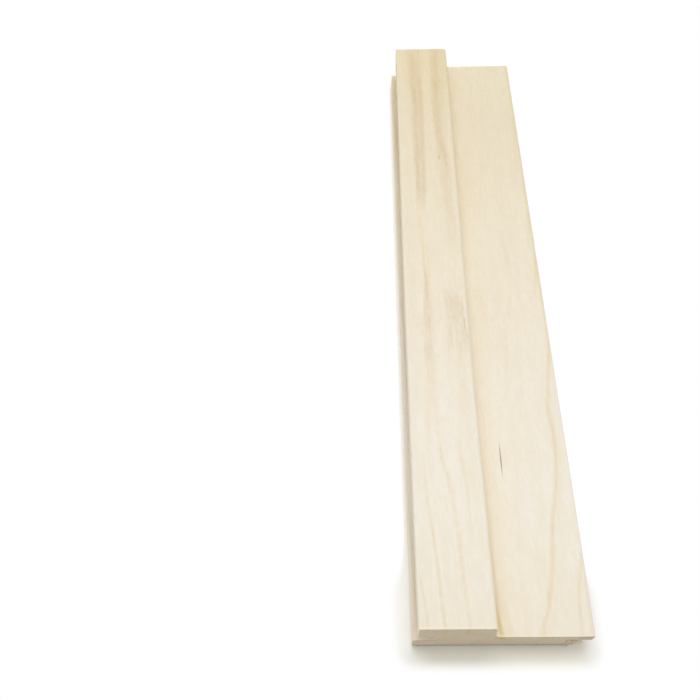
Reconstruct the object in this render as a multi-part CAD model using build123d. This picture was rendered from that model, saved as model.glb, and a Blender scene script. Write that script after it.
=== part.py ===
from build123d import *
import os
from math import radians, tan

# A tongue and groove cladding board, planed to its section from one piece of pale wood.
# All sizes are in millimetres. The board lies on its flat back. Its length runs along Y, its
# width along X from the groove edge to the tongue edge, and its thickness along Z.
# The origin is under the middle of the board, in the plane of its back.

# Overall sizes. The cover width is the spacing of laid boards, from one upper lip to the next.
board_length = 340.0
board_thickness = 27.0
cover_width = 62.0

# Face: a raised block along the groove edge, and a low flat from its wall to the tongue's tip.
block_width = 29.5
step_height = 12.9
wall_lean_degrees = 6.0
block_edge_radius = 1.8
step_root_radius = 2.2

# Groove edge: an upper lip under the block, the groove, and a lower lip that stands further out.
groove_depth = 8.8
upper_lip_undercut = 0.5
lower_lip_reach = 1.0
back_edge_radius = 1.8
lip_edge_radius = 0.4
groove_root_radius = 0.5

# Tongue edge: a tongue flush with the low flat, over a rebate for the next board's lower lip.
tongue_thickness = 5.3
tongue_tip_radius = 0.8
rebate_root_radius = 0.5
shoulder_edge_radius = 1.0

# Clearances between this board and the next one.
tongue_face_clearance = 0.4
tongue_tip_clearance = 0.8
lower_lip_clearance = 0.5

# Levels above the back, and places across the board from the tip of the upper lip.
low_face_level = board_thickness - step_height
tongue_underside_level = low_face_level - tongue_thickness
groove_top_level = low_face_level + tongue_face_clearance
groove_bottom_level = tongue_underside_level - tongue_face_clearance
wall_foot = block_width + step_height * tan(radians(wall_lean_degrees))
tongue_tip = cover_width + groove_depth - tongue_tip_clearance
shoulder = cover_width - lower_lip_reach - lower_lip_clearance


def groove_edge():
    """Corners of the two lips and the groove, from the face down to the back, with their radii."""
    return [
        ((0.0, board_thickness), lip_edge_radius),
        ((upper_lip_undercut, groove_top_level), lip_edge_radius),
        ((groove_depth, groove_top_level), groove_root_radius),
        ((groove_depth, groove_bottom_level), groove_root_radius),
        ((-lower_lip_reach, groove_bottom_level), lip_edge_radius),
        ((-lower_lip_reach, 0.0), back_edge_radius),
    ]


def tongue_edge():
    """Corners of the shoulder, the rebate and the tongue, from the back up to the low face."""
    return [
        ((shoulder, 0.0), shoulder_edge_radius),
        ((shoulder, tongue_underside_level), rebate_root_radius),
        ((tongue_tip, tongue_underside_level), tongue_tip_radius),
        ((tongue_tip, low_face_level), tongue_tip_radius),
    ]


def face_step():
    """Corners of the leaning wall between the low face and the top of the block."""
    return [
        ((wall_foot, low_face_level), step_root_radius),
        ((block_width, board_thickness), block_edge_radius),
    ]


def board_section():
    """The section of the board in its X Z plane, centred between its two outermost edges."""
    corners = groove_edge() + tongue_edge() + face_step()
    points = [point for point, radius in corners]
    radii = [radius for point, radius in corners]
    outline = FilletPolyline(*points, radius=radii, close=True)
    middle = (tongue_tip - lower_lip_reach) / 2
    return Plane.XZ * Pos(-middle, 0) * make_face(outline)


def cladding_board():
    """The whole board: its section, run along its length and cut square at both ends."""
    board = extrude(board_section(), board_length / 2, both=True)
    board.label = "cladding_board"
    return board


os.makedirs("parts", exist_ok=True)
export_step(cladding_board(), "parts/cladding_board.step")
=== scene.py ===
import logging
import math
import random
from collections.abc import Callable, Mapping, Sequence
from dataclasses import dataclass, replace
from enum import Enum
from functools import partial, reduce
from operator import add
from typing import Any, Union

import bmesh
import bpy
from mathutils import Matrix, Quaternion, Vector


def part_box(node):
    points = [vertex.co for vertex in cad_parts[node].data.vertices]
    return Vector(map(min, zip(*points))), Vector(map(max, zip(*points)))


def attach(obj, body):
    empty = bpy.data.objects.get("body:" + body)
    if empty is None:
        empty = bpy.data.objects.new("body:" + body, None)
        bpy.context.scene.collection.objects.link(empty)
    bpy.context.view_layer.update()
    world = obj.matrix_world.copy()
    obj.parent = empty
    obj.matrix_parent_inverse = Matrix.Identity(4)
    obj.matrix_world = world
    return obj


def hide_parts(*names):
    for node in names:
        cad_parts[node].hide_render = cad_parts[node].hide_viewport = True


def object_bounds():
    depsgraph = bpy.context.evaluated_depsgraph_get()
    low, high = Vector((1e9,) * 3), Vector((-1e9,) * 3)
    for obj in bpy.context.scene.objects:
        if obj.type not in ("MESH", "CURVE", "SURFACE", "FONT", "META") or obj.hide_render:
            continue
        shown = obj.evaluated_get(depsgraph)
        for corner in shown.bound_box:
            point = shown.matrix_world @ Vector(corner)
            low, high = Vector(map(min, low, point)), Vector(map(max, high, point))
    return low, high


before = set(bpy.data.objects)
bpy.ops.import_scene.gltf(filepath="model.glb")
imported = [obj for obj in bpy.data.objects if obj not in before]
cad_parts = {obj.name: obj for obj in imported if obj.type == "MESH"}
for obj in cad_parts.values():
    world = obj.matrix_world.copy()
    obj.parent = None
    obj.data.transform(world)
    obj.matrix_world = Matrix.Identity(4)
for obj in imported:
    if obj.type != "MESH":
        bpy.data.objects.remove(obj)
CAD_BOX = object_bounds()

log = logging.getLogger("cladding_board")

# The board lies on its flat back, with its length along Y, its groove edge at -X and its front end
# at -Y. Meshes are in metres, and the places that a material works with are in millimetres.
MM = 0.001
NODE = "cladding_board"
BODY = "root"

# Two places less than this far apart count as one.
NEAR = 0.01 * MM

# Half the side of the square, in millimetres, that a dark line's curve is drawn in.
REACH = 180.0

WHITE = (1.0, 1.0, 1.0, 1.0)

Operand = Union["Field", float]
Socket = bpy.types.NodeSocket
Piece = bpy.types.Object
Colour = tuple[int, int, int]
Span = tuple[float, float]


def linear(red: int, green: int, blue: int) -> tuple[float, float, float, float]:
    """Turns a colour as seen on a screen into the linear colour that a shader takes.

    Args:
        red: Red from 0 to 255.
        green: Green from 0 to 255.
        blue: Blue from 0 to 255.

    Returns:
        Linear red, green and blue, and an alpha of 1.
    """
    shares = (part / 255 for part in (red, green, blue))
    parts = [share / 12.92 if share <= 0.04045 else ((share + 0.055) / 1.055) ** 2.4 for share in shares]
    return parts[0], parts[1], parts[2], 1.0


def same(first: float, second: float) -> bool:
    """Whether two places along an axis count as one."""
    return abs(first - second) < NEAR


def pick(piece: Piece, kind: str, wanted: Callable[[Any], bool]) -> int:
    """Selects faces, edges or vertices of a piece in edit mode, and nothing else.

    Args:
        piece: The piece that is being edited.
        kind: FACE, EDGE or VERT.
        wanted: Says of one of them whether it is selected.

    Returns:
        How many were selected.
    """
    bpy.ops.mesh.select_mode(type=kind)
    bpy.ops.mesh.select_all(action="DESELECT")
    mesh = bmesh.from_edit_mesh(piece.data)
    items = {"FACE": mesh.faces, "EDGE": mesh.edges, "VERT": mesh.verts}[kind]
    picked = [item for item in items if wanted(item)]
    for item in picked:
        item.select_set(True)
    mesh.select_flush_mode()
    bmesh.update_edit_mesh(piece.data)
    return len(picked)


def cut(axis: int, place: float) -> None:
    """Cuts what is selected in edit mode by a plane square to an axis, at a place along it."""
    normal = Vector([float(axis == index) for index in range(3)])
    bpy.ops.mesh.bisect(plane_co=normal * place, plane_no=normal)


# Shader graph

def maths(operation: str, swapped: bool = False) -> Callable[..., "Field"]:
    """Makes a method of Field that adds one Math node to its graph.

    Args:
        operation: The node's operation.
        swapped: Whether the field comes after the other operand.

    Returns:
        The method.
    """
    settings = {"operation": operation}

    def method(field: "Field", *others: Operand) -> "Field":
        """Adds the Math node on the field and the other operands, and returns its result."""
        operands = dict(enumerate((*others, field) if swapped else (field, *others)))
        return Field(field.graph, field.graph.node("ShaderNodeMath", settings, operands).outputs[0])

    return method


@dataclass(frozen=True)
class Field:
    """A number that varies over the surface. Arithmetic on it adds Math nodes to its graph."""

    graph: "Graph"
    socket: Socket

    __add__ = maths("ADD")
    __sub__ = maths("SUBTRACT")
    __rsub__ = maths("SUBTRACT", swapped=True)
    __mul__ = maths("MULTIPLY")
    __truediv__ = maths("DIVIDE")
    __pow__ = maths("POWER")
    __abs__ = maths("ABSOLUTE")
    sine = maths("SINE")
    fraction = maths("FRACT")
    most = maths("MAXIMUM")
    least = maths("MINIMUM")

    def rise(self, low: float, high: float) -> "Field":
        """Rises smoothly from 0 to 1 as this number goes from low to high.

        Args:
            low: The number at which the rise starts.
            high: The number at which it ends.

        Returns:
            A mask from 0 to 1.
        """
        limits = {"Value": self, "From Min": low, "From Max": high}
        node = self.graph.node("ShaderNodeMapRange", {"interpolation_type": "SMOOTHSTEP"}, limits)
        return Field(self.graph, node.outputs["Result"])

    def fall(self, low: float, high: float) -> "Field":
        """Falls smoothly from 1 to 0 as this number goes from low to high."""
        return 1 - self.rise(low, high)


class Graph:
    """The node graph of one material or world."""

    def __init__(self, tree: bpy.types.NodeTree) -> None:
        """Empties the tree and keeps it."""
        self.tree = tree
        tree.nodes.clear()

    def node(self, kind: str, settings: Mapping[str, Any] | None = None,
             inputs: Mapping[str | int, Any] | None = None) -> bpy.types.Node:
        """Adds one node.

        Args:
            kind: The node's type.
            settings: The node's own settings, a curve's points or a ramp's stops, which are set first.
            inputs: What goes into its sockets, by name or number: a field, a socket or a plain value.

        Returns:
            The new node.
        """
        node = self.tree.nodes.new(kind)
        for name, setting in (settings or {}).items():
            if name == "points":
                self.draw_curve(node.mapping, setting)
            elif name == "stops":
                self.set_stops(node.color_ramp, setting)
            else:
                setattr(node, name, setting)
        for key, given in (inputs or {}).items():
            source = given.socket if isinstance(given, Field) else given
            if isinstance(source, Socket):
                self.tree.links.new(source, node.inputs[key])
            else:
                node.inputs[key].default_value = source
        return node

    @staticmethod
    def draw_curve(mapping: bpy.types.CurveMapping, points: Sequence[Span]) -> None:
        """Draws a curve node's curve through points.

        Args:
            mapping: The node's curve, as new.
            points: The points, from 0 to 1 both ways, in order.
        """
        curve = mapping.curves[0]
        curve.points[0].location = points[0]
        curve.points[-1].location = points[-1]
        for point in points[1:-1]:
            curve.points.new(*point)
        mapping.update()

    @staticmethod
    def set_stops(ramp: bpy.types.ColorRamp, stops: Sequence[tuple[float, Any]]) -> None:
        """Sets the stops of a colour ramp.

        Args:
            ramp: The node's ramp, as new.
            stops: Each stop's place from 0 to 1, and its linear colour, in order.
        """
        for place, colour in stops[1:-1]:
            ramp.elements.new(place).color = colour
        for element, (place, colour) in ((ramp.elements[0], stops[0]), (ramp.elements[-1], stops[-1])):
            element.position = place
            element.color = colour

    def place(self) -> tuple[Field, Field, Field]:
        """The place on the board, in millimetres.

        Returns:
            How far across, along and up the point lies.
        """
        spot = self.node("ShaderNodeTexCoord").outputs["Object"]
        parts = self.node("ShaderNodeSeparateXYZ", inputs={0: spot}).outputs
        return tuple(Field(self, part) / MM for part in parts)

    def tilt_to_ends(self) -> Field:
        """How far the surface faces along the board.

        Returns:
            A number from 0 on the board's sides and faces to 1 on its sawn ends.
        """
        facing = self.node("ShaderNodeTexCoord").outputs["Normal"]
        parts = self.node("ShaderNodeSeparateXYZ", inputs={0: facing}).outputs
        return abs(Field(self, parts[1]))

    def path(self, along: Field, points: Sequence[Span]) -> Field:
        """A smooth line drawn along the board.

        Args:
            along: The place along the board.
            points: The places across and along that the line goes through, from the front end on.

        Returns:
            How far across the line lies, in millimetres.
        """
        drawn = [((place + REACH) / (2 * REACH), (across + REACH) / (2 * REACH)) for across, place in points]
        start = (along + REACH) / (2 * REACH)
        node = self.node("ShaderNodeFloatCurve", {"points": drawn}, {"Factor": 1.0, "Value": start})
        return Field(self, node.outputs[0]) * (2 * REACH) - REACH

    def noise(self, across: Operand, along: Operand, up: Operand, detail: float = 2.0,
              roughness: float = 0.5) -> Field:
        """Smooth noise about nought, from about -0.5 to 0.5.

        Args:
            across: First coordinate, in noise cells.
            along: Second coordinate, in noise cells.
            up: Third coordinate, in noise cells.
            detail: How many finer layers the noise has.
            roughness: How strong each finer layer is.

        Returns:
            The noise.
        """
        spot = self.node("ShaderNodeCombineXYZ", inputs={0: across, 1: along, 2: up}).outputs[0]
        inputs = {"Vector": spot, "Scale": 1.0, "Detail": detail, "Roughness": roughness}
        return Field(self, self.node("ShaderNodeTexNoise", inputs=inputs).outputs[0]) - 0.5

    def seen(self) -> Field:
        """What the camera sees, straight on, mirrored or through glass.

        Returns:
            A mask that is 1 for that, and 0 for what lights the board.
        """
        rays = self.node("ShaderNodeLightPath").outputs
        kinds = ("Is Camera Ray", "Is Glossy Ray", "Is Transmission Ray")
        camera, glossy, transmission = (Field(self, rays[kind]) for kind in kinds)
        return camera.most(glossy).most(transmission)

    def blend(self, first: Any, second: Any, share: Operand, kind: str = "MIX") -> Socket:
        """Blends two colours.

        Args:
            first: The colour where the share is 0.
            second: The colour where the share is 1.
            share: The blend's factor.
            kind: The blend type.

        Returns:
            The blended colour's socket.
        """
        settings = {"data_type": "RGBA", "blend_type": kind}
        node = self.node("ShaderNodeMix", settings, {0: share, 6: first, 7: second})
        return node.outputs[2]


def new_material(name: str) -> tuple[bpy.types.Material, Graph]:
    """Makes a material with nothing in its graph.

    Args:
        name: The material's name.

    Returns:
        The material and its graph.
    """
    material = bpy.data.materials.new(name)
    material.use_nodes = True
    return material, Graph(material.node_tree)


# The wood

@dataclass(frozen=True)
class Spot:
    """The point that is shaded: its place on the board, in millimetres, and the mottle of the wood there."""

    graph: Graph
    across: Field
    along: Field
    up: Field
    mottle: Field


@dataclass(frozen=True)
class Wood(Spot):
    """The wood at a point: its fibres about nought, and masks of its ring lines, sawn ends and arrises."""

    fibre: Field
    latewood: Field
    sawn: Field
    arris: Field


class Level(Enum):
    """Which of the board's upper faces a mark lies on, as the heights between which it comes in."""

    BLOCK = (17.0, 22.0)
    LOW_FLAT = (9.0, 12.5)


class Stain(Enum):
    """The colours that the figure of the wood runs to. Amber also colours the painted shade at the step's
    root and the painted shadow beside its foot.
    """

    AMBER = (212, 180, 104)
    BROWN = (191, 159, 102)
    BARK = (140, 100, 44)


@dataclass(frozen=True)
class DarkLine:
    """A darker line, in millimetres. Most are lines in the grain; one is painted shade along the root of the
    step.

    It is drawn through points, each a place across and along, from the front end on. Its half widths
    and fades are those of its front and far ends. The breakup says how strongly the wood's mottle
    breaks it up, and the core is the share of its half width that is evenly dark.
    """

    level: Level
    points: tuple[Span, ...]
    half_widths: Span
    strength: float
    fades: Span = (12.0, 12.0)
    breakup: float = 0.0
    core: float = 0.1
    stain: Stain = Stain.AMBER

    def mask(self, spot: Spot) -> Field:
        """Where the line lies.

        Args:
            spot: The point that is shaded.

        Returns:
            A mask from 0 to the line's strength.
        """
        first, last = self.points[0][1], self.points[-1][1]
        near, far = self.half_widths
        half = near if near == far else (spot.along - first) * ((far - near) / (last - first)) + near
        distance = abs(spot.across - spot.graph.path(spot.along, self.points)) / half
        mask = distance.fall(self.core, 1.0) * spot.up.rise(*self.level.value) * self.strength
        if self.fades[0]:
            mask = mask * spot.along.rise(first, first + self.fades[0])
        if self.fades[1]:
            mask = mask * spot.along.fall(last - self.fades[1], last)
        if self.breakup:
            mask = mask * (spot.mottle * self.breakup + 1.0).most(0.0)
        return mask


block = partial(DarkLine, Level.BLOCK)
brown = partial(DarkLine, Level.BLOCK, stain=Stain.BROWN)
flat = partial(DarkLine, Level.LOW_FLAT)

BLOCK_GRAIN = (
    block(((-30.7, -170), (-31.0, -165), (-31.7, -160), (-32.5, -153), (-33.0, -145)), (1.0, 0.8), 0.17,
          (0, 10)),
    block(((-24.2, -170), (-25.0, -160), (-25.9, -148), (-26.8, -137), (-28.0, -127), (-28.8, -115),
           (-29.8, -98), (-30.4, -80)), (1.4, 0.9), 0.18, (0, 60), 2.4),
    block(((-15.2, -170), (-15.7, -160), (-16.3, -150), (-16.7, -133), (-17.5, -125), (-18.7, -114),
           (-20.5, -105), (-22.2, -95), (-22.7, -82), (-23.0, -62)), (1.5, 1.7), 0.18, (0, 40), 2.4),
    block(((-18.9, -170), (-18.8, -150), (-18.5, -135)), (0.5, 0.5), 0.08, (0, 14), 1.6),
    block(((-11.2, -140), (-11.8, -127), (-12.2, -112), (-13.2, -102), (-13.7, -80)), (0.8, 1.8), 0.15,
          (14, 24), 1.4),
    block(((-26.4, -98), (-26.0, -75), (-25.2, -52)), (1.8, 2.4), 0.12, (18, 10), 1.0),
    brown(((-25.0, -59), (-24.9, -48), (-24.8, -36), (-24.2, -22), (-23.8, -10), (-24.0, 4)), (3.2, 1.7),
          0.15, (14, 14), 1.2, core=0.35),
    brown(((-24.4, -22), (-23.8, -15), (-23.7, -9), (-24.2, -1), (-24.4, 8), (-24.3, 24)), (1.1, 0.8), 0.12,
          (10, 20), 1.0),
    block(((-24.2, -90), (-24.0, -70), (-23.2, -50), (-22.7, -25), (-23.0, -5), (-23.8, 12), (-25.0, 30),
           (-25.6, 50)), (2.8, 3.2), 0.12, (30, 20), 0.6),
    brown(((-25.0, 30), (-25.1, 50), (-25.0, 62), (-24.8, 84), (-24.4, 104), (-24.3, 118), (-24.8, 136),
           (-24.6, 156), (-24.2, 170)), (1.8, 2.8), 0.16, (26, 20), 0.9),
    brown(((-23.4, 34), (-22.1, 50), (-21.7, 62), (-21.4, 90), (-21.3, 112), (-20.9, 130), (-21.8, 152),
           (-22.6, 170)), (1.6, 2.6), 0.13, (20, 40), 0.9),
    brown(((-24.0, 34), (-23.5, 60), (-23.4, 100), (-23.2, 130), (-23.4, 170)), (3.0, 7.0), 0.19, (24, 0),
          0.5, core=0.3),
    brown(((-9.4, 50), (-9.5, 64), (-9.4, 76), (-10.8, 86), (-12.2, 95), (-12.5, 112), (-12.7, 122),
           (-12.2, 132), (-11.5, 142), (-11.2, 152), (-10.4, 170)), (2.6, 3.4), 0.14, (30, 0), 0.8),
    brown(((-8.4, 2), (-9.4, 30), (-10.6, 60), (-11.4, 100), (-10.6, 130), (-10.4, 170)), (3.6, 6.6), 0.16,
          (30, 0), 1.0, core=0.2),
    block(((-11.0, -88), (-10.4, -60), (-10.0, -32)), (3.8, 4.2), 0.09, (26, 16), 0.6),
    brown(((-13.1, 75.6), (-13.0, 78), (-12.8, 80.2)), (1.1, 0.8), 0.34, (2, 2)),
    brown(((-14.6, -64), (-14.2, -40), (-13.8, -24), (-13.6, -8)), (2.4, 2.6), 0.13, (30, 10), 2.2,
          core=0.3),
    brown(((-10.4, -56), (-10.6, -36), (-10.8, -22), (-10.6, -11)), (2.0, 2.8), 0.14, (30, 9), 2.2,
          core=0.3),
    brown(((-7.0, -52), (-7.4, -36), (-8.2, -22), (-8.4, -14)), (1.8, 1.8), 0.16, (16, 9), 2.4, core=0.3),
    brown(((-13.0, -30), (-12.4, -20), (-12.2, -10)), (4.8, 4.4), 0.08, (12, 8), 2.0, core=0.3),
    brown(((-7.6, -37), (-7.3, -32), (-7.1, -25)), (0.45, 0.4), 0.45, (5, 5)),
    block(((-7.0, -27), (-7.2, -20), (-7.6, -13)), (0.7, 0.6), 0.20, (4, 5)),
)
FLAT_GRAIN_AND_SHADE = (
    # Painted shade, not grain: an amber line along the root of the step, from the front end towards the
    # middle.
    flat(((-2.4, -170), (-2.8, -130), (-3.0, -80)), (2.4, 2.4), 0.25, (0, 70), core=0.3),
    flat(((-1.4, -120), (-1.0, 0), (-0.2, 170)), (2.8, 4.2), 0.08, (50, 20)),
    flat(((15.0, -170), (15.9, -165), (18.0, -160), (19.6, -154), (21.3, -146), (22.7, -138), (24.2, -126),
          (25.8, -118), (28.2, -107), (29.4, -99), (30.1, -90), (30.2, -82), (29.8, -73), (30.2, -66),
          (31.6, -57), (32.8, -47), (34.2, -36), (34.9, -24)), (1.7, 1.3), 0.20, (0, 20), 0.6),
    flat(((17.0, -170), (19.8, -160), (22.6, -146), (24.4, -132), (27.0, -118), (30.0, -104), (31.4, -90),
          (31.2, -70), (33.0, -54)), (3.4, 1.8), 0.07, (0, 20), core=0.2),
    flat(((30.3, -170), (30.8, -160), (32.0, -150), (33.7, -144), (34.9, -132)), (1.3, 1.2), 0.18, (0, 10),
         0.6),
    flat(((34.6, -170), (34.7, -150), (34.8, -136)), (1.4, 1.1), 0.14, (0, 14)),
    flat(((34.6, -60), (34.5, 0), (34.5, 170)), (1.0, 1.3), 0.24, (40, 0), 0.6),
    flat(((31.4, -10), (32.6, 2), (34.2, 14), (35.0, 24)), (1.2, 1.2), 0.12, (8, 8)),
    flat(((31.6, 22), (33.2, 38), (34.8, 54)), (1.2, 1.2), 0.13, (8, 8)),
    flat(((30.6, 72), (32.4, 98), (34.4, 128)), (1.4, 1.4), 0.10, (14, 10)),
    flat(((-0.6, -170), (-1.8, -165), (-2.8, -158), (-3.2, -148)), (1.9, 1.0), 0.40, (0, 12)),
    flat(((2.4, -170), (0.6, -162), (-1.0, -150)), (3.6, 2.0), 0.10, (0, 12), core=0.3),
    flat(((12.0, -58), (13.4, -44), (14.6, -30), (16.4, -18), (19.0, -5), (20.2, 12), (19.4, 28),
          (18.7, 46)), (1.6, 2.6), 0.08, (12, 20), 1.6),
    flat(((3.0, -44), (4.0, -14), (4.6, 10)), (4.0, 5.0), 0.06, (24, 18), 1.6, core=0.2),
    flat(((5.9, -104.5), (5.9, -95), (6.0, -85)), (0.36, 0.32), 0.75, (7, 7), core=0.2, stain=Stain.BARK),
)


@dataclass(frozen=True)
class PlanedWood:
    """The finish of the whole board: pale, straight wood, planed along it and sawn across its ends.

    Sizes are in millimetres. A span holds the two places or tilts between which a mask changes. The colour
    also holds painted light: a highlight on the upper arrises at the ends, warm bounce light and shade at the
    step, a contact shadow along the foot of the ends, and shade where the light falls off towards the far
    end.
    """

    name: str = "planed_wood"
    # Tones along the board, from the front end to the far end. They get darker and warmer towards the far
    # end: partly the wood's own tone, partly painted shade where the light falls off along the board.
    tones_with_falloff_shade: tuple[tuple[float, Colour], ...] = (
        (-170, (239, 231, 215)), (-120, (241, 234, 220)), (-50, (238, 230, 215)), (20, (235, 226, 207)),
        (90, (231, 220, 197)), (125, (228, 217, 193)), (170, (230, 219, 193)))
    shade: Colour = (244, 240, 229)
    latewood: Colour = (214, 186, 138)
    sawn: Colour = (227, 222, 214)
    pores: Colour = (214, 204, 186)
    # Colour of the painted highlight on the upper arrises at the ends.
    arris: Colour = (250, 238, 212)
    # Colour of the painted contact shadow along the foot of the sawn ends.
    foot_shadow: Colour = (112, 98, 66)
    # Colour of the painted warm bounce light on the step's wall and root.
    step_bounce_light: Colour = (248, 227, 172)
    half_length: float = 170.0
    pith_across: float = 4.0
    pith_depth: float = 40.0
    pith_climb: float = 0.03
    ring_width: float = 2.7
    ring_at: float = 69.4
    cutter_pitch: float = 1.4
    end_tilt: Span = (0.8, 0.97)
    arris_tilt: Span = (0.05, 0.35)
    groove_root: Span = (-25.0, -24.6)
    groove_bottom: Span = (8.0, 8.4)
    groove_top: Span = (14.6, 15.0)
    block_top: Span = (25.5, 26.5)
    flat_top: Span = (13.2, 13.8)
    step: Span = (-6.0, -4.0)
    highlight_fringe: Span = (-169.5, -168.9)
    lines: tuple[DarkLine, ...] = BLOCK_GRAIN + FLAT_GRAIN_AND_SHADE

    def make(self) -> bpy.types.Material:
        """Builds the material.

        Returns:
            The finished material.
        """
        material, graph = new_material(self.name)
        across, along, up = graph.place()
        mottle = graph.noise(across / 1.6, along / 3.6, up / 1.6 + 7.7, detail=4.0, roughness=0.6)
        wood = self.read(Spot(graph, across, along, up, mottle))
        relief = self.relief(wood)
        bump = graph.node("ShaderNodeBump", inputs={"Strength": 1.0, "Distance": MM, "Height": relief})
        inputs = {
            "Base Color": self.colour(wood),
            "Roughness": wood.fibre * 0.12 + wood.latewood * -0.05 + wood.sawn * 0.2 + 0.62,
            "Specular IOR Level": 0.3,
            "Normal": bump.outputs[0],
        }
        shader = graph.node("ShaderNodeBsdfPrincipled", inputs=inputs)
        graph.node("ShaderNodeOutputMaterial", inputs={"Surface": shader.outputs[0]})
        return material

    def read(self, spot: Spot) -> Wood:
        """Works out what the wood is like at a point.

        Args:
            spot: The point that is shaded.

        Returns:
            The wood there.
        """
        across, up = spot.across, spot.up
        tilt = spot.graph.tilt_to_ends()
        eased = tilt.rise(*self.arris_tilt)
        groove = across.fall(*self.groove_root) * up.rise(*self.groove_bottom) * up.fall(*self.groove_top)
        sawn = tilt.rise(*self.end_tilt).most(eased * groove)
        fibre, latewood = self.fibre_field(spot), self.latewood_mask(spot)
        return Wood(**vars(spot), fibre=fibre, latewood=latewood, sawn=sawn, arris=eased * (1 - sawn))

    def latewood_mask(self, spot: Spot) -> Field:
        """The thin darker line at the end of each year's ring, about a pith that runs under the board.

        Args:
            spot: The point that is shaded.

        Returns:
            A mask that is 1 on the darkest of a line.
        """
        graph, along, up = spot.graph, spot.along, spot.up
        sideways = spot.across - self.pith_across
        rising = up - (along + self.half_length) * self.pith_climb + self.pith_depth
        warp = graph.noise(spot.across / 38.0, along / 150.0, up / 38.0) * 2.2
        ripple = graph.noise(spot.across / 6.0, along / 45.0, up / 6.0) * 0.5
        radius = (sideways ** 2.0 + rising ** 2.0) ** 0.5 + warp + ripple
        year = (radius - self.ring_at) / self.ring_width
        phase = year.fraction()
        line = phase.rise(0.45, 0.93) * phase.fall(0.95, 1.0)
        vigour = graph.noise(year * 0.37, along / 120.0, 5.0) * 1.6 + 0.75
        return line * vigour.most(0.12).least(1.0)

    def fibre_field(self, spot: Spot) -> Field:
        """The lengthwise fibres, as noise drawn out along the board, about nought.

        Args:
            spot: The point that is shaded.

        Returns:
            The fibre noise.
        """
        sideways = spot.along * 0.03 + spot.across
        coarse = spot.graph.noise(sideways / 0.8, spot.along / 13.0, spot.up / 0.8, detail=3.0)
        fine = spot.graph.noise(sideways / 0.3, spot.along / 4.0, spot.up / 0.3, detail=2.0)
        return coarse * 0.6 + fine * 0.4

    def colour(self, wood: Wood) -> Socket:
        """Lays the colours over each other first: the ground with its painted falloff shade, the ring lines,
        and the figure of the grain with the painted shade line at the step's root.

        Args:
            wood: The wood at the point that is shaded.

        Returns:
            The colour's socket.
        """
        graph, across, along, up = wood.graph, wood.across, wood.along, wood.up
        length = 2 * self.half_length
        stops = tuple(((place + self.half_length) / length, linear(*tone)) for place, tone in self.tones_with_falloff_shade)
        ramp = graph.node("ShaderNodeValToRGB", {"stops": stops}, {0: (along + self.half_length) / length})
        band = graph.noise(across / 5.0, along / 120.0, up / 5.0, detail=3.0)
        cloud = graph.noise(across / 7.0, along / 16.0, up / 7.0, detail=3.0)
        shade = band * 0.5 + cloud * 0.5 + wood.fibre * 1.1 + wood.mottle * 0.9 + 0.28
        tone = graph.blend(ramp.outputs[0], linear(*self.shade), shade.most(0.0).least(1.0), "MULTIPLY")
        buried = up.fall(8.0, 13.0).most(wood.sawn)
        tone = graph.blend(tone, linear(*self.latewood), wood.latewood * (buried * 0.3 + 0.05))
        sway = graph.noise(across / 12.0, along / 28.0, 3.1) + wood.fibre * 0.6
        drawn = replace(wood, across=across + sway)
        for stain in Stain:
            masks = [line.mask(drawn) for line in self.lines if line.stain is stain]
            tone = graph.blend(tone, linear(*stain.value), reduce(add, masks) * (wood.fibre * 1.2 + 1.0))
        return self.end_grain(wood, self.age(wood, tone))

    def age(self, wood: Wood, tone: Socket) -> Socket:
        """Lays a painted highlight on the upper arrises at the ends, the warmth of the block, painted warm
        bounce light on the step's wall and a painted shadow beside the step's foot over a colour.

        Args:
            wood: The wood at the point that is shaded.
            tone: The colour of the grain.

        Returns:
            The colour's socket.
        """
        graph, across, along, up = wood.graph, wood.across, wood.along, wood.up
        planed = 1 - wood.sawn
        # Painted highlight: the upper arrises at both ends, and a thin fringe of the upper faces at the front
        # end, go pale.
        upper = up.rise(*self.block_top).most(up.rise(*self.flat_top) * across.rise(*self.step))
        highlight_fringe = along.fall(*self.highlight_fringe) * planed * 0.5
        tone = graph.blend(tone, linear(*self.arris), wood.arris.most(highlight_fringe) * upper * 0.9)
        far_end = along.rise(96.0, 168.0) * (wood.mottle * 0.2 + 0.12)
        far_half = along.rise(30.0, 130.0) * across.rise(-36.0, -10.0) * 0.08
        middle = along.rise(-90.0, -20.0) * along.fall(60.0, 130.0) * 0.045
        aged = (far_end + far_half + middle) * up.rise(*Level.BLOCK.value)
        tone = graph.blend(tone, linear(*Stain.AMBER.value), aged)
        # Painted warm bounce light on the step's wall and root, towards the front end.
        step_bounce_light = across.rise(-5.4, -4.4) * across.fall(-3.4, -1.6) * along.fall(40.0, 90.0) * planed
        tone = graph.blend(tone, linear(*self.step_bounce_light), step_bounce_light * 0.2)
        # Painted shadow: amber on the low flat beside the step's foot, over the front half of the board.
        beside = across.rise(-4.6, -3.4) * across.fall(-0.5, 4.5) * along.fall(-110.0, 0.0) * planed
        return graph.blend(tone, linear(*Stain.AMBER.value), beside * 0.085)

    def end_grain(self, wood: Wood, tone: Socket) -> Socket:
        """Darkens the sawn ends, with a painted contact shadow as a dark line along the floor, a darker
        tongue end, and the wood's pores and saw marks.

        Args:
            wood: The wood at the point that is shaded.
            tone: The colour of the planed wood.

        Returns:
            The colour's socket.
        """
        graph, across, up = wood.graph, wood.across, wood.up
        tone = graph.blend(tone, linear(*self.sawn), wood.sawn, "MULTIPLY")
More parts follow.
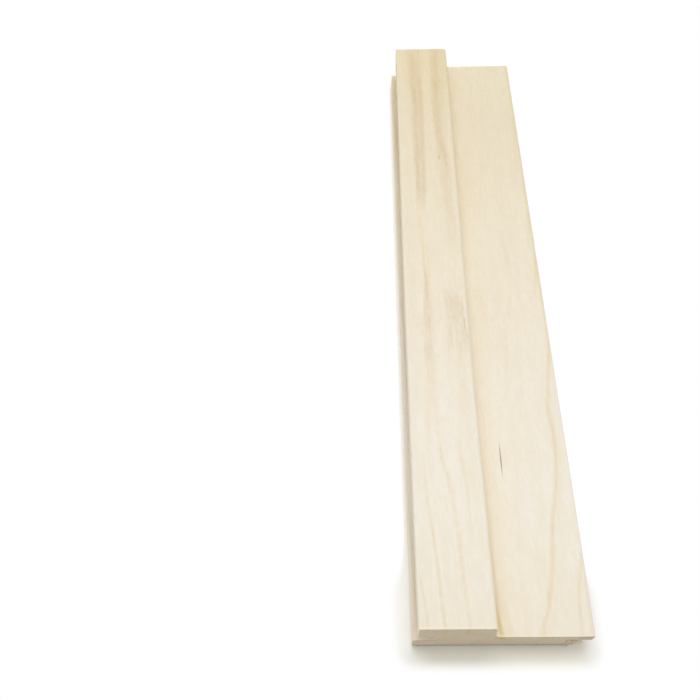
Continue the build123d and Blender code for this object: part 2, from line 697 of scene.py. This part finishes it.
        # Painted contact shadow along the foot of the ends and their arrises; the tongue's end is also
        # darkened a little.
        low = up.fall(0.2, 2.3).most(across.rise(27.0, 33.0) * 0.3)
        foot_shadow = wood.sawn.most(wood.arris) * low * (wood.mottle * 0.8 + 0.6)
        tone = graph.blend(tone, linear(*self.foot_shadow), foot_shadow)
        pores = graph.noise(across / 0.5, 1.7, up / 0.5, detail=4.0, roughness=0.7)
        kerf = graph.noise(across / 0.7, 4.2, up / 9.0, detail=3.0)
        clear = (pores * 0.9 + kerf * 0.6 + 0.9).least(1.0)
        dark = graph.blend(tone, linear(*self.pores), 1.0, "MULTIPLY")
        return graph.blend(tone, dark, wood.sawn * (1 - clear))

    def relief(self, wood: Wood) -> Field:
        """The height of the surface, in millimetres: fibres, ring lines, cutter marks and saw marks.

        Args:
            wood: The wood at the point that is shaded.

        Returns:
            The height.
        """
        graph, across, up = wood.graph, wood.across, wood.up
        cutter = (wood.along * (2 * math.pi / self.cutter_pitch)).sine() * 0.0012
        planed = wood.fibre * 0.03 + wood.latewood * 0.004 + cutter
        teeth = graph.noise(across / 0.6, 2.9, up / 14.0, detail=3.0, roughness=0.6) * 0.12
        torn = graph.noise(across / 0.35, 8.8, up / 0.35, detail=2.0) * 0.08
        return planed * (1 - wood.sawn) + (teeth + torn) * wood.sawn


# The board

@dataclass(frozen=True)
class Section:
    """Sizes of the board's section, in metres, as the CAD part has them.

    Places are across the board, from its middle, and heights are above its back.
    """

    upper_lip: float = -34.5 * MM
    undercut: float = 0.5 * MM
    groove_back: float = -25.7 * MM
    groove_bottom: float = 8.4 * MM
    groove_top: float = 14.5 * MM
    tongue_underside: float = 8.8 * MM
    low_flat: float = 14.1 * MM
    block_edge: float = -5.0 * MM
    wall_foot: float = -3.644 * MM
    shoulder: float = 26.0 * MM
    lip_radius: float = 0.4 * MM
    root_radius: float = 0.5 * MM
    back_radius: float = 1.8 * MM
    shoulder_radius: float = 1.0 * MM
    tongue_radius: float = 0.8 * MM
    step_root_radius: float = 2.2 * MM
    block_edge_radius: float = 1.8 * MM


@dataclass(frozen=True)
class Corner:
    """A lengthwise corner of the section.

    It has a place across and up, a radius with its number of segments, and the angle of the wood in it.
    """

    across: float
    up: float
    radius: float
    segments: int
    inside_angle: float = 90.0


@dataclass(frozen=True)
class Skew:
    """How an end was sawn out of square and out of plumb, in degrees, turned about a place across."""

    side: int
    across: float
    square: float
    plumb: float


@dataclass(frozen=True)
class Bend:
    """How far an edge of the block, between two places across, runs out of true towards an end."""

    edge: Span
    side: int
    shift: float
    reach: float


@dataclass
class Board:
    """The whole board, modelled from a blank of its section: cut, run to length, eased and sawn."""

    low: Vector
    high: Vector
    section: Section
    arris: float = 0.36 * MM
    loops: int = 169
    end_cell: float = 1.5 * MM
    cell_shift: float = 0.31
    saw_marks: float = 0.16 * MM
    saw_mark_size: float = 2.2 * MM
    skews: tuple[Skew, ...] = (Skew(-1, 0.0, 0.5, 0.0), Skew(1, 5.0 * MM, 1.9, -1.5))
    bends: tuple[Bend, ...] = (
        Bend((-8.0 * MM, -1.0 * MM), 1, 1.2 * MM, 265.0 * MM),
        Bend((-8.0 * MM, -1.0 * MM), -1, 0.45 * MM, 110.0 * MM),
        Bend((-35.0 * MM, -33.0 * MM), 1, 0.6 * MM, 220.0 * MM),
        Bend((-35.0 * MM, -33.0 * MM), -1, 0.2 * MM, 110.0 * MM))
    pocket_across: float = 5.9 * MM
    pocket_along: float = -94.5 * MM
    pocket_cell: float = 0.2 * MM
    pocket_cuts: tuple[tuple[float, float, float], ...] = (
        (9.0 * MM, 0.1 * MM, 0.12 * MM), (7.0 * MM, 0.3 * MM, 0.16 * MM), (5.0 * MM, 0.1 * MM, 0.16 * MM))
    piece: Piece | None = None

    def build(self, finish: bpy.types.Material) -> Piece:
        """Models the board, dresses it and ties it to the frame.

        Args:
            finish: The material of the board.

        Returns:
            The finished piece.
        """
        self.cut_blank()
        self.run_to_length()
        self.ease_corners()
        self.saw_ends()
        self.divide()
        self.roughen_ends()
        self.bend_edges()
        self.skew_ends()
        self.open_pocket()
        self.finish_shape()
        piece = self.piece
        piece.data.materials.clear()
        piece.data.materials.append(finish)
        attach(piece, BODY)
        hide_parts(NODE)
        return piece

    def cut_blank(self) -> None:
        """Makes the section as one face at the front end, by cutting stock away from a blank."""
        width = self.high.x - self.low.x
        height = self.high.z - self.low.z
        bpy.ops.object.select_all(action="DESELECT")
        bpy.ops.mesh.primitive_plane_add(
            size=1.0, location=(0.0, self.low.y + self.arris, height / 2), rotation=(math.pi / 2, 0.0, 0.0))
        self.piece = bpy.context.active_object
        self.piece.name = "planed_board"
        self.piece.data.name = "planed_board"
        bpy.ops.transform.resize(value=(width, 1.0, height))
        bpy.ops.object.transform_apply(location=True, rotation=True, scale=True)
        bpy.ops.object.mode_set(mode="EDIT")
        part = self.section
        walls = (part.upper_lip, part.groove_back, part.block_edge, part.shoulder)
        levels = (part.groove_bottom, part.tongue_underside, part.low_flat, part.groove_top)
        for axis, places in ((0, walls), (2, levels)):
            for place in places:
                bpy.ops.mesh.select_all(action="SELECT")
                cut(axis, place)
        pick(self.piece, "FACE", lambda face: self.is_waste(face.calc_center_median()))
        bpy.ops.mesh.delete(type="FACE")
        bpy.ops.mesh.select_all(action="SELECT")
        bpy.ops.mesh.dissolve_faces()
        bpy.ops.mesh.select_all(action="SELECT")
        bpy.ops.mesh.dissolve_limited(angle_limit=math.radians(0.5))
        self.shift_corner(part.upper_lip, part.groove_top, part.undercut)
        self.shift_corner(part.block_edge, part.low_flat, part.wall_foot - part.block_edge)

    def is_waste(self, spot: Vector) -> bool:
        """Whether a cell of the blank is planed away.

        Args:
            spot: The middle of the cell.

        Returns:
            True over the lower lip, in the groove, in the rebate and over the low flat.
        """
        part = self.section
        over_lip = spot.x < part.upper_lip and spot.z > part.groove_bottom
        groove = spot.x < part.groove_back and part.groove_bottom < spot.z < part.groove_top
        rebate = spot.x > part.shoulder and spot.z < part.tongue_underside
        over_flat = spot.x > part.block_edge and spot.z > part.low_flat
        return over_lip or groove or rebate or over_flat

    def shift_corner(self, across: float, up: float, shift: float) -> None:
        """Moves one corner of the section across the board, which makes its wall lean."""
        pick(self.piece, "VERT", lambda v: same(v.co.x, across) and same(v.co.z, up))
        bpy.ops.transform.translate(value=(shift, 0.0, 0.0))

    def run_to_length(self) -> None:
        """Runs the section along the board, short of both ends by the sawn arris."""
        run = self.high.y - self.low.y - 2 * self.arris
        bpy.ops.mesh.select_all(action="SELECT")
        bpy.ops.mesh.extrude_region_move(TRANSFORM_OT_translate={"value": (0.0, run, 0.0)})
        bpy.ops.mesh.select_all(action="SELECT")
        bpy.ops.mesh.normals_make_consistent(inside=False)

    def corners(self) -> tuple[Corner, ...]:
        """Lists the lengthwise corners, each with the radius that it is eased to.

        Returns:
            The corners, from the upper lip down, under the board and up to the block's edge.
        """
        part = self.section
        lean = math.degrees(math.atan2(part.wall_foot - part.block_edge, self.high.z - part.low_flat))
        return (
            Corner(part.upper_lip, self.high.z, part.lip_radius, 3),
            Corner(part.upper_lip + part.undercut, part.groove_top, part.lip_radius, 3),
            Corner(part.groove_back, part.groove_top, part.root_radius, 3),
            Corner(part.groove_back, part.groove_bottom, part.root_radius, 3),
            Corner(self.low.x, part.groove_bottom, part.lip_radius, 3),
            Corner(self.low.x, self.low.z, part.back_radius, 7),
            Corner(part.shoulder, self.low.z, part.shoulder_radius, 5),
            Corner(part.shoulder, part.tongue_underside, part.root_radius, 3),
            Corner(self.high.x, part.tongue_underside, part.tongue_radius, 4),
            Corner(self.high.x, part.low_flat, part.tongue_radius, 4),
            Corner(part.wall_foot, part.low_flat, part.step_root_radius, 7, 90.0 + lean),
            Corner(part.block_edge, self.high.z, part.block_edge_radius, 8, 90.0 + lean),
        )

    def ease_corners(self) -> None:
        """Rounds each lengthwise corner to its own radius."""
        for corner in self.corners():
            count = pick(self.piece, "EDGE", lambda edge, corner=corner: all(
                same(v.co.x, corner.across) and same(v.co.z, corner.up) for v in edge.verts))
            if count != 1:
                raise RuntimeError(f"{count} edges at the corner {corner}")
            reach = corner.radius / math.tan(math.radians(corner.inside_angle) / 2)
            bpy.ops.mesh.bevel(offset=reach, offset_type="OFFSET", segments=corner.segments, profile=0.5,
                               affect="EDGES")

    def saw_ends(self) -> None:
        """Rounds the arris round each sawn end, and brings the board to its full length."""
        step = self.arris / 3
        for thickness, depth in ((step, 2 * step), (2 * step, step)):
            pick(self.piece, "FACE", lambda face: abs(face.normal.y) > 0.9 and len(face.verts) > 12)
            bpy.ops.mesh.inset(thickness=thickness, depth=depth, use_even_offset=True)

    def on_end(self, face: bmesh.types.BMFace) -> bool:
        """Whether a face lies in the plane of a sawn end, and not in its arris."""
        return abs(abs(face.calc_center_median().y) - self.high.y) < NEAR / 10

    def divide(self) -> None:
        """Divides the long faces into loops and the ends into cells, so that they can be shaped."""
        pick(self.piece, "EDGE", lambda edge: edge.calc_length() > (self.high.y - self.low.y) / 2)
        bpy.ops.mesh.subdivide(number_cuts=self.loops)
        for first, last, axis in ((self.low.x, self.high.x, 0), (self.low.z, self.high.z, 2)):
            count = round((last - first) / self.end_cell)
            for index in range(1, count):
                pick(self.piece, "FACE", self.on_end)
                cut(axis, first + (last - first) * (index + self.cell_shift) / count)

    def roughen_ends(self) -> None:
        """Gives the sawn ends and their arrises the slight unevenness that the saw leaves."""
        group = self.piece.vertex_groups.new(name="sawn_ends")
        pick(self.piece, "VERT", lambda v: abs(v.co.y) > self.high.y - 1.1 * self.arris)
        bpy.ops.object.vertex_group_assign()
        bpy.ops.object.mode_set(mode="OBJECT")
        cloud = bpy.data.textures.new("saw_marks", "CLOUDS")
        cloud.noise_scale = self.saw_mark_size
        modifier = self.piece.modifiers.new("saw_marks", "DISPLACE")
        modifier.texture = cloud
        modifier.texture_coords = "LOCAL"
        modifier.direction = "Y"
        modifier.strength = self.saw_marks
        modifier.vertex_group = group.name
        bpy.ops.object.modifier_apply(modifier=modifier.name)
        self.piece.vertex_groups.clear()
        bpy.ops.object.mode_set(mode="EDIT")

    def bend_edges(self) -> None:
        """Lets the block's two edges run slightly out of true towards the ends, as they were planed."""
        floor = self.section.low_flat - 0.1 * MM
        for bend in self.bends:
            low, high = bend.edge
            pick(self.piece, "VERT", lambda v, low=low, high=high: low < v.co.x < high and v.co.z > floor)
            bpy.ops.mesh.hide(unselected=True)
            end = self.high.y - 2 * self.arris
            pick(self.piece, "VERT", lambda v, side=bend.side, end=end: not v.hide and v.co.y * side > end)
            bpy.ops.transform.translate(value=(bend.shift, 0.0, 0.0), use_proportional_edit=True,
                                        proportional_edit_falloff="SMOOTH", proportional_size=bend.reach)
            bpy.ops.mesh.reveal(select=False)

    def skew_ends(self) -> None:
        """Turns each end a little out of square and out of plumb, as it was sawn."""
        for skew in self.skews:
            end = skew.side * self.high.y
            pick(self.piece, "VERT", lambda v, end=end: abs(v.co.y - end) < 2 * self.arris)
            for degrees, axis in ((skew.square, "Z"), (skew.plumb, "X")):
                bpy.ops.transform.rotate(value=-math.radians(degrees), orient_axis=axis, orient_type="GLOBAL",
                                         center_override=(skew.across, end, self.high.z))

    def open_pocket(self) -> None:
        """Sinks the small bark pocket into the low flat: a narrow slit, deepest in its middle."""
        surface, middle = self.section.low_flat, self.pocket_across
        for index in range(-2, 3):
            pick(self.piece, "FACE",
                 lambda face: face.normal.z > 0.99 and same(face.calc_center_median().z, surface))
            cut(0, middle + index * self.pocket_cell)
        deepest = sum(drop for _, _, drop in self.pocket_cuts)
        for reach, width, drop in self.pocket_cuts:
            pick(self.piece, "VERT",
                 lambda v, reach=reach, width=width: abs(v.co.y - self.pocket_along) < reach
                 and abs(v.co.x - middle) < width and abs(v.co.z - surface) < deepest)
            bpy.ops.transform.translate(value=(0.0, 0.0, -drop))

    def finish_shape(self) -> None:
        """Leaves edit mode with clean normals, and shades the rounded corners smooth."""
        bpy.ops.mesh.select_all(action="SELECT")
        bpy.ops.mesh.normals_make_consistent(inside=False)
        bpy.ops.object.mode_set(mode="OBJECT")
        bpy.ops.object.shade_smooth_by_angle(angle=math.radians(35.0))
        modifier = self.piece.modifiers.new("flat_faces", "WEIGHTED_NORMAL")
        modifier.keep_sharp = True
        bpy.ops.object.modifier_apply(modifier=modifier.name)


# The torn fibres

@dataclass(frozen=True)
class FrayedFibre:
    """The finish of fibres torn loose by the saw: pale, like the sawn end at their roots, and with a painted
    contact shadow at their foot.

    A span holds the two places, in millimetres, between which a colour goes out.
    """

    name: str = "frayed_fibre"
    pale: Colour = (250, 243, 226)
    dark: Colour = (200, 184, 154)
    root: Colour = (216, 201, 172)
    root_ends: Span = (26.9, 27.9)
    # Colour of the painted contact shadow at the slivers' foot.
    foot_shadow: Colour = (120, 106, 74)
    foot_shadow_ends: Span = (27.6, 28.8)
    foot_shadow_height: Span = (0.3, 1.3)

    def make(self) -> bpy.types.Material:
        """Builds the material.

        Returns:
            The finished material.
        """
        material, graph = new_material(self.name)
        across, along, up = graph.place()
        patch = graph.noise(across / 0.5, along / 0.5, up / 0.9, detail=3.0)
        tone = graph.blend(linear(*self.pale), linear(*self.dark), patch.rise(-0.12, 0.14))
        tone = graph.blend(tone, linear(*self.root), across.fall(*self.root_ends) * 0.9)
        # Painted contact shadow at the foot of the slivers, going on from the one on the sawn end.
        foot_shadow = across.fall(*self.foot_shadow_ends) * up.fall(*self.foot_shadow_height) * 0.8
        tone = graph.blend(tone, linear(*self.foot_shadow), foot_shadow)
        bump = graph.node("ShaderNodeBump", inputs={"Strength": 0.6, "Distance": MM, "Height": patch * 0.05})
        inputs = {"Base Color": tone, "Roughness": patch * 0.2 + 0.78, "Normal": bump.outputs[0]}
        shader = graph.node("ShaderNodeBsdfPrincipled", inputs=inputs)
        graph.node("ShaderNodeOutputMaterial", inputs={"Surface": shader.outputs[0]})
        return material


@dataclass
class TornFibres:
    """Slivers that the saw tore loose at the front end, where the shoulder meets the tongue.

    The heights are shares of the tongue's height over the floor. A lean and a droop are how far a
    sliver heads along and up for each unit across.
    """

    front: float
    section: Section
    count: int = 280
    seed: int = 11
    reaches: Span = (1.9 * MM, 6.6 * MM)
    shares: Span = (0.4, 1.0)
    thicknesses: Span = (0.18 * MM, 0.46 * MM)
    root_depth: float = 0.2 * MM
    depths: Span = (0.1 * MM, 0.9 * MM)
    heights: Span = (0.07, 0.98)
    leans: Span = (-0.22, 0.05)
    droops: Span = (-0.12, 0.08)
    droop_with_height: float = 0.3
    creases: tuple[float, ...] = (0.3, 0.55, 0.8)
    curl: tuple[Span, ...] = ((0.5, 0.25), (0.75, 0.45), (0.95, 0.7))

    def build(self, finish: bpy.types.Material) -> Piece:
        """Models one curled sliver, sets copies of it on the torn corner, and joins them to one piece.

        Args:
            finish: The material of the slivers.

        Returns:
            The finished piece.
        """
        sliver = self.make_sliver()
        chance = random.Random(self.seed)
        copies = [self.set_copy(sliver, chance) for _ in range(self.count)]
        bpy.data.objects.remove(sliver)
        bpy.ops.object.select_all(action="DESELECT")
        for copy in copies:
            copy.select_set(True)
        bpy.context.view_layer.objects.active = copies[0]
        bpy.ops.object.join()
        bpy.ops.object.transform_apply(location=True, rotation=True, scale=True)
        piece = bpy.context.active_object
        piece.name = "torn_fibres"
        piece.data.name = "torn_fibres"
        piece.data.materials.clear()
        piece.data.materials.append(finish)
        bpy.ops.object.shade_smooth_by_angle(angle=math.radians(50.0))
        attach(piece, BODY)
        return piece

    def make_sliver(self) -> Piece:
        """Models one sliver a unit long, tapered and curled over to one side.

        Returns:
            The sliver.
        """
        bpy.ops.object.select_all(action="DESELECT")
        bpy.ops.mesh.primitive_cone_add(
            vertices=5, radius1=0.5, radius2=0.12, depth=1.0, location=(0.0, 0.0, 0.5))
        sliver = bpy.context.active_object
        bpy.ops.object.transform_apply(location=True, rotation=False, scale=False)
        bpy.ops.object.mode_set(mode="EDIT")
        for height in self.creases:
            bpy.ops.mesh.select_all(action="SELECT")
            cut(2, height)
        for height, shift in self.curl:
            pick(sliver, "VERT", lambda v, height=height: v.co.z > height)
            bpy.ops.transform.translate(value=(shift, 0.0, 0.0))
        bpy.ops.object.mode_set(mode="OBJECT")
        return sliver

    def set_copy(self, sliver: Piece, chance: random.Random) -> Piece:
        """Sets one copy of the sliver on the torn corner.

        Args:
            sliver: The sliver to copy.
            chance: The seeded source of chance.

        Returns:
            The copy, with its own mesh.
        """
        copy = sliver.copy()
        copy.data = sliver.data.copy()
        bpy.context.scene.collection.objects.link(copy)
        height = chance.random()
        near, far = self.reaches
        length = (near + (far - near) * height ** 1.2) * chance.uniform(*self.shares)
        lean = chance.uniform(*self.leans)
        droop = chance.uniform(self.droops[0] - self.droop_with_height * height, self.droops[1])
        spin = Quaternion((0.0, 0.0, 1.0), chance.uniform(0.0, 2 * math.pi))
        thickness = chance.uniform(*self.thicknesses)
        lowest, highest = self.heights
        copy.location = (self.section.shoulder - self.root_depth, self.front + chance.uniform(*self.depths),
                         (lowest + (highest - lowest) * height) * self.section.tongue_underside)
        heading = Vector((1.0, lean, droop))
        copy.rotation_euler = (heading.to_track_quat("Z", "Y") @ spin).to_euler()
        copy.scale = (thickness, thickness, length)
        return copy


# The studio

@dataclass
class Studio:
    """The floor, the light and the camera.

    The floor goes white over the distances in glow, in millimetres. Beside the board a distance
    counts side_glow times, and corner_glow times up to corner_ends.
    """

    camera_place: tuple[float, float, float] = (-59.9 * MM, -242.3 * MM, 335.5 * MM)
    camera_dip: float = 57.551
    camera_turn: float = 0.211
    camera_lens: float = 41.01
    camera_clip: Span = (1 * MM, 50.0)
    sky: float = 0.62
    lamp_from: tuple[float, float, float] = (-0.04, 0.25, 0.95)
    lamp_distance: float = 1.3
    lamp_size: float = 1.0
    lamp_power: float = 8.25
    floor_size: float = 12.0
    floor_drop: float = 0.05 * MM
    # The floor's tone near the board is painted warm for the light that the wood bounces into its shadow;
    # beside the board it is plain.
    warm_bounce_floor_tone: Colour = (252, 250, 240)
    side_tone: Colour = (252, 252, 250)
    side_starts: Span = (32.0, 38.0)
    glow: Span = (5.0, 11.2)
    side_glow: float = 6.0
    corner_glow: float = 1.3
    corner_ends: Span = (-150.0, -120.0)

    def build(self) -> None:
        """Sets up the floor, the sky, the lamp and the camera."""
        self.lay_floor()
        self.light()
        self.set_camera()

    def lay_floor(self) -> None:
        """Lays a plain floor that keeps the board's shadow and is white beyond it. In front of and behind the
        board its tone is painted warm bounce light from the wood.
        """
        bpy.ops.object.select_all(action="DESELECT")
        bpy.ops.mesh.primitive_plane_add(size=self.floor_size, location=(0.0, 0.0, -self.floor_drop))
        floor = bpy.context.active_object
        bpy.ops.object.transform_apply(location=True)
        floor.name = "floor"
        material, graph = new_material("pale_floor")
        across, along, _ = graph.place()
        beside = abs(across).rise(*self.side_starts)
        tone = graph.blend(linear(*self.warm_bounce_floor_tone), linear(*self.side_tone), beside)
        matt = graph.node("ShaderNodeBsdfDiffuse", inputs={"Color": tone}).outputs[0]
        white = graph.node("ShaderNodeEmission", inputs={"Color": WHITE, "Strength": 1.0}).outputs[0]
        weight = along.rise(*self.corner_ends) * (self.side_glow - self.corner_glow) + self.corner_glow
        aside = (abs(across) - CAD_BOX[1][0] / MM).most(0.0) * weight
        beyond = (abs(along) - CAD_BOX[1][1] / MM).most(0.0)
        away = (aside ** 2.0 + beyond ** 2.0) ** 0.5
        share = graph.seen() * away.rise(*self.glow)
        mix = graph.node("ShaderNodeMixShader", inputs={0: share, 1: matt, 2: white})
        graph.node("ShaderNodeOutputMaterial", inputs={"Surface": mix.outputs[0]})
        floor.data.materials.append(material)

    def light(self) -> None:
        """Adds an even sky and one large soft lamp, above and behind the board."""
        scene = bpy.context.scene
        scene.view_settings.view_transform = "Standard"
        world = bpy.data.worlds.new("studio")
        scene.world = world
        world.use_nodes = True
        graph = Graph(world.node_tree)
        strength = graph.seen() * (1.0 - self.sky) + self.sky
        sky = graph.node("ShaderNodeBackground", inputs={"Color": WHITE, "Strength": strength})
        graph.node("ShaderNodeOutputWorld", inputs={"Surface": sky.outputs[0]})
        lamp = bpy.data.lights.new("soft_lamp", "AREA")
        lamp.shape = "DISK"
        lamp.size = self.lamp_size
        lamp.energy = self.lamp_power
        holder = bpy.data.objects.new("soft_lamp", lamp)
        scene.collection.objects.link(holder)
        direction = Vector(self.lamp_from).normalized()
        holder.location = direction * self.lamp_distance
        holder.rotation_euler = direction.to_track_quat("Z", "Y").to_euler()

    def set_camera(self) -> None:
        """Sets the camera where the photograph was taken from."""
        data = bpy.data.cameras.new("camera")
        data.lens = self.camera_lens
        data.clip_start, data.clip_end = self.camera_clip
        camera = bpy.data.objects.new("camera", data)
        bpy.context.scene.collection.objects.link(camera)
        camera.location = self.camera_place
        camera.rotation_euler = (math.radians(90.0 - self.camera_dip), 0.0, math.radians(self.camera_turn))
        bpy.context.scene.camera = camera


def main() -> None:
    """Builds the board and the studio round it, and reports each piece."""
    logging.basicConfig(level=logging.INFO, format="%(message)s")
    low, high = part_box(NODE)
    section = Section()
    board = Board(low, high, section).build(PlanedWood().make())
    log.info("%s: %d faces", board.name, len(board.data.polygons))
    fibres = TornFibres(low.y, section).build(FrayedFibre().make())
    log.info("%s: %d faces", fibres.name, len(fibres.data.polygons))
    Studio().build()
    log.info("studio: floor, sky, lamp and camera")


if __name__ == "__main__":
    main()
